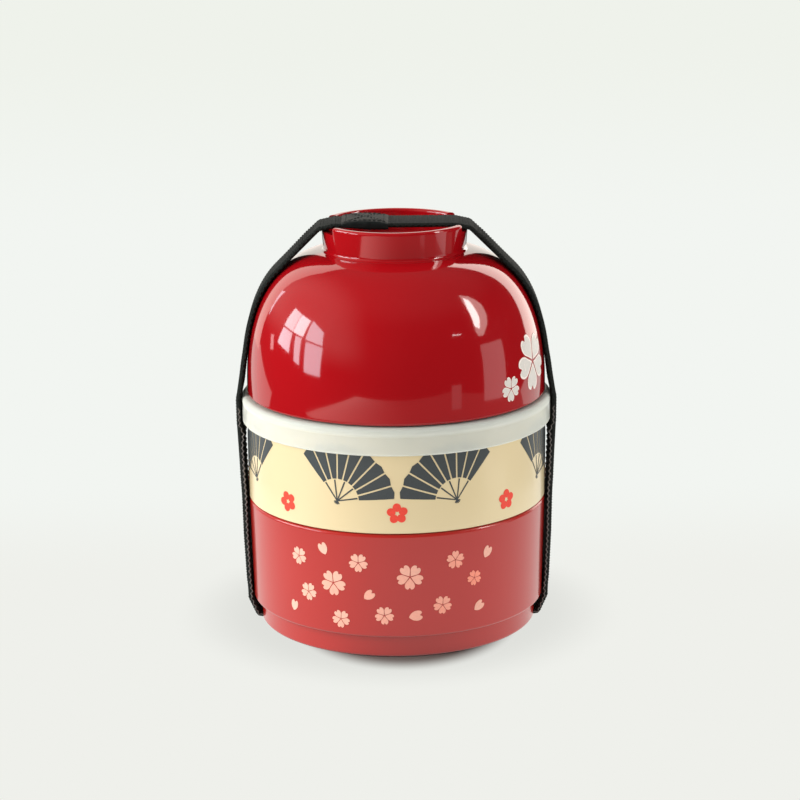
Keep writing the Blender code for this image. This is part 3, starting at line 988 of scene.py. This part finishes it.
def pulled(piece, line):
    """Bows and curls a stretch of the belt: its vertices move along the outward normal of its line."""
    points = np.array([(p.x, p.y) for p in line])
    runs = np.diff(points, axis=0)
    lengths = (runs ** 2).sum(axis=1)
    normals = np.stack([runs[:, 1], -runs[:, 0]], axis=1) / np.sqrt(lengths)[:, None]
    corners = np.concatenate([normals[:1], normals[:-1] + normals[1:], normals[-1:]])
    corners /= np.linalg.norm(corners, axis=1)[:, None]
    verts = piece.data.vertices
    flat = np.empty(3 * len(verts))
    verts.foreach_get("co", flat)
    spots = flat.reshape(-1, 3) / METRES
    # A few thousand vertices at a time, to spare memory
    for part in np.array_split(spots, 1 + len(spots) // 8000):
        side = np.where(part[:, 0] < 0, -1.0, 1.0)
        own = np.stack([np.abs(part[:, 0]), part[:, 2]], axis=1)
        away = own[:, None] - points[:-1]
        share = np.clip((away * runs).sum(axis=2) / lengths, 0, 1)
        gap = ((away - share[:, :, None] * runs) ** 2).sum(axis=2)
        near = gap.argmin(axis=1)
        rows = np.arange(len(part))
        share = share[rows, near][:, None]
        height = (points[near] + share * runs[near])[:, 1]
        out = corners[near] * (1 - share) + corners[near + 1] * share
        curl = np.interp(height, CURL_HEIGHTS, CURL_DEPTHS) * (part[:, 1] / (BELT_WIDTH / 2)) ** 2
        bow = np.interp(height, BOW_HEIGHTS, BOW_DEPTHS)
        part[:, 0] += side * out[:, 0] * (bow - curl)
        part[:, 2] += out[:, 1] * (bow - curl)
    verts.foreach_set("co", (spots * METRES).ravel())
    piece.data.update()
    return piece


def belt_parts(weave, yarn):
    """The belt in four stretches, from under the base to over the top, each mirrored in X."""
    line = belt_line()
    levels = (-math.inf, *BELT_CUTS, math.inf)
    right = [[(p.x, 0.0, p.y) for p in between(line, low, high)]
             for low, high in zip(levels, levels[1:])]
    left = [[(-x, y, z) for x, y, z in stretch] for stretch in right]
    stretches = {
        "belt_base": [left[0][::-1] + right[0][1:]],
        "belt_tiers": [right[1], left[1]],
        "belt_bowl": [right[2], left[2]],
        "belt_over_ring": [right[3] + left[3][::-1][1:]],
    }
    tree = belt_tree()
    values = {
        "Width": mm(BELT_WIDTH), "Thickness": mm(BELT_THICKNESS), "Rib Pitch": mm(RIB_PITCH),
        "Rib Radius": mm(RIB_RADIUS), "Rib Height": mm(RIB_HEIGHT), "Yarn Radius": mm(YARN_RADIUS),
        "Yarn Swing": mm(2 * YARN_SWING), "Weave": weave}
    made = []
    for name, lines in stretches.items():
        # The grey yarn shows only where the belt's edge stands clear of the tiers
        values["Yarn"] = yarn if name in ("belt_base", "belt_tiers") else weave
        part = pulled(grown(name, lines, tree, values), line)
        # Its flat ends don't round off the shading where the next stretch goes on
        part.data.set_sharp_from_angle(angle=END_ANGLE)
        made.append(part)
    return made


# Studio: colours, watts, and places in metres
BACKDROP = "#F2F5F1"
BACKDROP_TOP = "#EFF2EB"
TABLE = "#EFF0EB"
# Darker paper under the object's foot, for a painted contact shadow
PAINTED_SHADOW_PAPER = "#6E6864"
AIM = (0.0, 0.0, 0.07)
AMBIENT = 0.45
OVERHEAD_POWER = 5.0
FRONT_POWER = 2.0
KEY_POWER = 22.5
FILL_POWER = 12.0
LIGHT_DISTANCE = 1.4
LEFT_BOWL = (-0.035, -0.03, 0.11)
RIGHT_BOWL = (0.03, -0.04, 0.11)
MID_BOWL = (0.0, 0.0, 0.1)
# Windows and lit walls that only the gloss sees: the place that they face, their distance from it,
# strength, colour, and corners as directions (azimuth, elevation) from it
CARDS = [
    ("upper_pane", LEFT_BOWL, 1.5, 7.02, "#E6FBFF", [(-103, 26), (-91.5, 26), (-92, 13), (-104, 12.5)]),
    ("upper_pane", LEFT_BOWL, 1.5, 9.0, "#E6FBFF", [(-91, 26), (-79, 26), (-80, 13.5), (-91.5, 13)]),
    ("lower_pane", LEFT_BOWL, 1.5, 6.3, "#DFF6FF", [(-104, 11.5), (-92, 12), (-91, 2), (-106, 3)]),
    ("lower_pane", LEFT_BOWL, 1.5, 5.4, "#DFF6FF", [(-88, 12), (-81, 12.5), (-79, -1), (-85, 0)]),
    ("side_pane", LEFT_BOWL, 1.5, 5.58, "#DCF6FF", [(-77, 13), (-77, 27), (-62, 22), (-60, 13)]),
    ("low_pane", LEFT_BOWL, 1.5, 4.95, "#DCF4FF", [(-76, 12), (-59, 12), (-59, -3), (-74, -3)]),
    ("blind_slit", LEFT_BOWL, 1.5, 3.15, "#E6F4FF", [(-135, 19), (-130, 23), (-129, 9), (-130, 6)]),
    ("door_slit", LEFT_BOWL, 1.5, 2.25, "#FFF2F2", [(-117, 3), (-113, 4), (-110, -1), (-114, -2)]),
    ("far_window", RIGHT_BOWL, 1.5, 2.7, "#FFF4EC", [
        (88, 53), (93, 46), (93, 35), (89, 26), (84, 20), (76, 15), (71, 16), (70, 20), (73, 29), (78, 44)]),
    ("far_window_core", RIGHT_BOWL, 1.425, 11.7, "#FFFFFA", [
        (86, 49), (87, 44), (80, 27), (75, 20), (71, 23), (76, 39)]),
    ("lamp", RIGHT_BOWL, 1.5, 7.2, "#FFFFFF", [(48, 23), (56, 21.8), (56, 21), (48, 22)]),
    ("back_wall_left", MID_BOWL, 0.8, 1.15, "#FFF6EC", [
        (-155, -14), (-130, -14), (-130, 2), (-128, 12), (-132, 24), (-136, 35), (-145, 45), (-164, 47),
        (165, 46), (165, -6), (-155, -6)]),
    ("back_wall_right", MID_BOWL, 0.8, 2.5, "#FFF6EC", [
        (165, -6), (165, 45), (149, 41.5), (139, 36), (132, 27), (127, 17), (124.5, 10), (122.5, 3),
        (122, -14), (155, -14), (155, -6)]),
    ("door", RIGHT_BOWL, 0.4, 1.0, "#FFF4F2", [(70, 10), (93, 7), (93, -24), (70, -24)]),
    ("jamb", (0.015, -0.02, 0.13), 0.4, 0.5, "#FFF4F2", [(40, -10), (48, -10), (48, -24), (40, -24)]),
]
TABLE_LEVEL = mm(0.3)
NEAR_TABLE_RADIUS = 0.2
# The table behind the object on either side, and dark straight behind it
BACK_TABLE = [(0.14, 0.1), (0.4, 0.1), (1.0, 0.8), (0.26, 0.8)]
FAR_TABLE = [
    (-0.335, -0.13), (-0.23, -0.21), (-0.15, -0.22), (0.25, -0.2), (0.25, 0.1), (0.5, 0.1), (0.5, -0.6),
    (-0.335, -0.6)]


def soft_light(name, place, width, height, power, colour="#FFFFFF"):
    """A rectangular light that faces the object and stays out of the gloss, in metres and watts."""
    lamp = bpy.data.lights.new(name, "AREA")
    lamp.shape = "RECTANGLE"
    lamp.size = width
    lamp.size_y = height
    lamp.energy = power
    lamp.color = linear(colour)[:3]
    made = linked(name, lamp)
    made.location = place
    made.rotation_euler = (Vector(AIM) - Vector(place)).to_track_quat("-Z", "Y").to_euler()
    made.visible_glossy = False
    made.visible_camera = False


def direction(azimuth, elevation):
    """The unit vector towards an azimuth, from the camera's side, and an elevation, in degrees."""
    a, e = math.radians(azimuth), math.radians(elevation)
    return Vector((math.sin(a) * math.cos(e), -math.cos(a) * math.cos(e), math.sin(e)))


def bare_tree(owner):
    """The emptied node tree of a material or world."""
    owner.use_nodes = True
    owner.node_tree.nodes.clear()
    return owner.node_tree


def glowing(name, points, strength, colour):
    """A flat card, its corners at points in metres, that only the gloss sees; returns its emission."""
    card = bmesh.new()
    card.faces.new([card.verts.new(p) for p in points])
    material = bpy.data.materials.new(name)
    tree = bare_tree(material)
    glow = add(tree, "ShaderNodeEmission", {"Color": linear(colour), "Strength": strength})
    add(tree, "ShaderNodeOutputMaterial", {0: glow})
    made = as_piece(name, card, material)
    for rays in ("camera", "diffuse", "transmission", "shadow"):
        setattr(made, "visible_" + rays, False)
    return glow.node


def aimed(origin, corners, distance):
    """The corners of a flat card, given as directions from origin, that faces it at distance."""
    ways = [direction(*corner) for corner in corners]
    middle = sum(ways, Vector()).normalized()
    return [Vector(origin) + way * (distance / way.dot(middle)) for way in ways]


def sweep():
    """White paper that lies under the object and curves up behind it, with a painted shadow round the foot.
    """
    flat_from, flat_to, bend, top, half, steps = -1.3, 0.5, 0.35, 1.0, 1.6, 16
    profile = [(flat_from, 0.0), (flat_to, 0.0)]
    for step in range(1, steps + 1):
        angle = math.radians(90) * step / steps
        profile.append((flat_to + bend * math.sin(angle), bend * (1 - math.cos(angle))))
    profile.append((flat_to + bend, top))
    shape = bmesh.new()
    rows = [[shape.verts.new((x, y, z)) for x in (-half, half)] for y, z in profile]
    for (left, right), (next_left, next_right) in zip(rows, rows[1:]):
        shape.faces.new((left, right, next_right, next_left))
    material = bpy.data.materials.new("white_paper_sweep")
    tree = bare_tree(material)
    place = object_place(tree)
    # Away from the object the paper glows by itself, so that no shadow or falloff marks it
    near = mixed(tree, eased(tree, axis(tree, place, "Y"), 0.03, 0.16), TABLE, BACKDROP)
    whole = mixed(tree, eased(tree, axis(tree, place, "Z"), 0.01, 0.12), near, BACKDROP_TOP)
    away = vectors(tree, "LENGTH", place, out="Value")
    # Near the object the glow is dimmer: a painted faint shade round it
    level = maths(tree, "MULTIPLY_ADD", eased(tree, away, 0.048, 0.08), 0.14, 0.86)
    glow = add(tree, "ShaderNodeEmission", {"Color": whole, "Strength": level})
    paper = add(tree, "ShaderNodeBsdfDiffuse", {"Color": linear(PAINTED_SHADOW_PAPER)})
    # Darker paper near the foot paints its contact shadow, in an oval that reaches furthest in front, as
    # light from behind would throw it
    painted_shadow_oval = vectors(tree, "MULTIPLY_ADD", place, (1.35, 1.0, 1.0), (-0.003, 0.006, 0.0))
    beyond = vectors(tree, "LENGTH", painted_shadow_oval, out="Value")
    shown = add(tree, "ShaderNodeMixShader", {0: eased(tree, beyond, 0.043, 0.055), 1: paper, 2: glow})
    add(tree, "ShaderNodeOutputMaterial", {0: shown})
    made = as_piece("sweep", shape, material)
    made.visible_glossy = False


def cards():
    """What the gloss shows: windows, a lit wall behind, and a table that is bright near the object."""
    for name, origin, distance, strength, colour, corners in CARDS:
        glowing(name, aimed(origin, corners, distance), strength, colour)
    angles = np.linspace(0, math.tau, 49)[:-1]
    disc = [(NEAR_TABLE_RADIUS * math.cos(a), NEAR_TABLE_RADIUS * math.sin(a), TABLE_LEVEL) for a in angles]
    glowing("near_table", disc, 0.98, TABLE)
    for side in (-1, 1):
        corners = [(side * x, y, TABLE_LEVEL / 2) for x, y in BACK_TABLE[::side]]
        glowing("back_table", corners, 0.9, TABLE)
    # The rest of the table is bright on the left and dims to the right
    table = glowing("far_table", [(x, y, TABLE_LEVEL / 3) for x, y in FAR_TABLE], 0.2, "#FFF0E8")
    tree = table.id_data
    along = mapped(tree, axis(tree, object_place(tree), "X"), 0.1, -0.3)
    bright = maths(tree, "ADD", maths(tree, "POWER", along, 2.0), 0.2)
    wire(bright, table, "Strength")


def room():
    """Even light on the object, and for the gloss a dark room that is hazy up on the left."""
    world = bpy.data.worlds.new("studio")
    bpy.context.scene.world = world
    tree = bare_tree(world)
    rays = add(tree, "ShaderNodeLightPath").node.outputs
    toward = add(tree, "ShaderNodeTexCoord", out="Generated")
    up = axis(tree, toward, "Z")
    left = eased(tree, axis(tree, toward, "X"), -0.3, -0.75, 0.42)
    haze = maths(tree, "MULTIPLY_ADD", left, eased(tree, up, 0.0, 0.3), 0.03)
    ceiling = maths(tree, "ADD", haze, eased(tree, up, 0.5, 0.85, 0.08))

    def glow(colour, strength):
        return add(tree, "ShaderNodeBackground", {"Color": linear(colour), "Strength": strength})

    lit = add(tree, "ShaderNodeMixShader", {
        0: rays["Is Glossy Ray"], 1: glow("#FFFFFF", AMBIENT), 2: glow("#FFFBF4", ceiling)})
    seen = maths(tree, "MAXIMUM", rays["Is Camera Ray"], rays["Is Transmission Ray"])
    shown = add(tree, "ShaderNodeMixShader", {0: seen, 1: lit, 2: glow(BACKDROP, 1.0)})
    add(tree, "ShaderNodeOutputWorld", {0: shown})


def lights():
    """Soft light from the left, from above and a little from the right, none of it in the gloss."""
    soft_light("overhead", (-0.1, 0.0, 1.3), 1.4, 1.4, OVERHEAD_POWER)
    soft_light("front", direction(-15, 25) * LIGHT_DISTANCE, 1.0, 0.9, FRONT_POWER, "#FFFCF6")
    soft_light("key", direction(-78, 24) * LIGHT_DISTANCE, 1.0, 0.9, KEY_POWER, "#FFFDFB")
    soft_light("fill", direction(85, 6) * LIGHT_DISTANCE, 0.9, 0.9, FILL_POWER)


def camera():
    back = direction(0, CAMERA_ELEVATION)
    right = Vector((1.0, 0.0, 0.0))
    up = back.cross(right)
    leaning_right = right * math.cos(CAMERA_ROLL) + up * math.sin(CAMERA_ROLL)
    leaning_up = up * math.cos(CAMERA_ROLL) - right * math.sin(CAMERA_ROLL)
    data = bpy.data.cameras.new("camera")
    data.lens = CAMERA_LENS
    data.sensor_width = CAMERA_SENSOR
    data.shift_x, data.shift_y = CAMERA_SHIFT
    data.clip_start = 0.05
    made = linked("camera", data)
    place = Vector(CAMERA_TARGET) * METRES + back * mm(CAMERA_DISTANCE)
    columns = (leaning_right, leaning_up, back, place)
    made.matrix_world = Matrix([[c[i] for c in columns] for i in range(3)] + [[0, 0, 0, 1]])
    bpy.context.scene.camera = made


def sleeve_reach(along, above):
    """How far the sleeve's skin stands from its middle, as a share of its half height.

    It is plump in the middle, pressed flat at both seams, and slack below on the right.
    """
    if above:
        return 0.62 + 0.62 * (1 - along * along) ** 0.7
    return 0.55 + 0.45 * min(1.0, max(0.0, (along + 0.7) / 0.9))


def patch_sleeve(material):
    """The sewn sleeve: a flat tube of leathercloth with a wall, soft edges and slight creases."""
    along_steps, around_steps = 48, 96
    shape = bmesh.new()

    def ring(x, inset, crease):
        width = PATCH_HALF.y - inset
        power = 2 / SLEEVE_POWER
        verts = []
        for step in range(around_steps):
            angle = math.tau * step / around_steps
            c, s = math.cos(angle), math.sin(angle)
            y = width * math.copysign(abs(c) ** power, c)
            height = PATCH_HALF.z * sleeve_reach(x / PATCH_HALF.x, s > 0) - inset
            z = height * math.copysign(abs(s) ** power, s)
            spot = PATCH_MIDDLE + Vector((x, y, z))
            dip = noise.noise(spot * 0.45) * 0.5 + noise.noise(spot * 1.1) * 0.25
            spot.z -= math.copysign(min(crease, abs(z)) * (0.5 + dip), z)
            verts.append(shape.verts.new(spot * METRES))
        return verts

    places = [PATCH_HALF.x * (2 * step / along_steps - 1) for step in range(along_steps + 1)]
    outer = [ring(x, 0.0, CREASE_DEPTH) for x in places]
    inner = [ring(x, PATCH_WALL, 0.0) for x in (places[-1], places[0])]
    rings = outer + inner + outer[:1]
    for first, second in zip(rings, rings[1:]):
        for index in range(around_steps):
            beyond = (index + 1) % around_steps
            shape.faces.new((first[index], first[beyond], second[beyond], second[index]))
    bmesh.ops.recalc_face_normals(shape, faces=shape.faces)
    return as_piece("sleeve_cloth", shape, material)


def stitch_tree():
    """Short thread stitches at even steps along lines."""
    tree, given = geometry_tree("stitches", {
        "Line": "Geometry", "Pitch": "Float", "Length": "Float", "Thread": "Float",
        "Material": "Material"}, "Stitches")
    line = add(tree, "GeometryNodeMeshToCurve", {0: given["Line"]})
    spots = add(tree, "GeometryNodeCurveToPoints", {
        "Curve": line, "Length": given["Pitch"]}, mode="LENGTH")
    bead = add(tree, "GeometryNodeMeshUVSphere", {"Segments": 8, "Rings": 6, "Radius": 0.5})
    size = add(tree, "ShaderNodeCombineXYZ", {
        0: given["Thread"], 1: given["Thread"], 2: given["Length"]})
    smooth = add(tree, "GeometryNodeSetShadeSmooth", {"Geometry": repeated(tree, spots, bead, Scale=size)})
    add(tree, "NodeGroupOutput", {0: dyed(tree, smooth, given["Material"])})
    return tree


def sleeve_stitches(thread):
    """A box seam with a cross in it on the sleeve's upper and lower faces."""
    across, deep = PATCH_HALF.x - SEAM_INSETS[0], PATCH_HALF.y - SEAM_INSETS[1]

    def on_skin(x, y, above):
        share = (1 - abs(y / PATCH_HALF.y) ** SLEEVE_POWER) ** (1 / SLEEVE_POWER)
        rise = PATCH_HALF.z * sleeve_reach(x / PATCH_HALF.x, above) * share - SEAM_SINK
        return PATCH_MIDDLE + Vector((x, y, rise if above else -rise))

    corners = [(-across, -deep), (across, -deep), (across, deep), (-across, deep)]
    seams = list(zip(corners, corners[1:] + corners[:1])) + [corners[0::2], corners[1::2]]
    lines = []
    for above in (True, False):
        for (x0, y0), (x1, y1) in seams:
            lines.append([on_skin(x0 + (x1 - x0) * t, y0 + (y1 - y0) * t, above)
                          for t in np.linspace(0, 1, SEAM_POINTS)])
    values = {"Pitch": mm(STITCH_PITCH), "Length": mm(STITCH_LENGTH), "Thread": mm(STITCH_WIDTH),
              "Material": thread}
    return grown("sleeve_stitches", lines, stitch_tree(), values)


bpy.context.scene.view_settings.view_transform = "Standard"
camera()
room()
lights()
sweep()
cards()

red = lacquered_red("lacquered_red_abs", "#B61A10", "#AC160E", 0.28, 0.1)
deep_red = lacquered_red("lacquered_deep_red_abs", "#A80D15", "#9D0A12", 0.08, 0.03)
pink_ink = printed_ink("pink_blossom_ink", "#F0C0AC", "#FB957D")
pale_ink = printed_ink("pale_blossom_ink", "#F6E9DF", "#D9D2CA")
charcoal_ink = printed_ink("charcoal_ink", "#43484A", "#43484A")
red_ink = printed_ink("red_ink", "#EE4432", "#EE4432")

vessels = [
    (lower_tier(red), "lower_tier", "red_gloss"),
    (upper_tier(cream_abs()), "upper_tier", "cream_gloss"),
    (inner_lid(milky_polyethylene()), "inner_lid", "milky_lid"),
    (bowl(deep_red), "bowl", "deep_red_gloss"),
]
for made, node, slot in vessels:
    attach(made, node)
    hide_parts(node)

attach(blossoms_on_lower_tier(pink_ink), "lower_tier")
for made in fans_on_upper_tier(charcoal_ink, red_ink):
    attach(made, "upper_tier")
for made in blossoms_on_bowl(pale_ink):
    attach(made, "bowl")

bodies = ("lower_tier", "upper_tier", "inner_lid", "bowl", "belt_top")
levels = (STEP_HEIGHT, *BELT_CUTS, NOTCH_FLOOR)
belt = belt_parts(woven_elastic(), core_yarn())
for made, below, above, start, end in zip(belt, bodies, bodies[1:], levels, levels[1:]):
    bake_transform(made)
    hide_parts("elastic_belt")

made = patch_sleeve(grained_leathercloth())
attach(made, "belt_top")
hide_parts("belt_patch")
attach(sleeve_stitches(sewing_thread()), "belt_top")
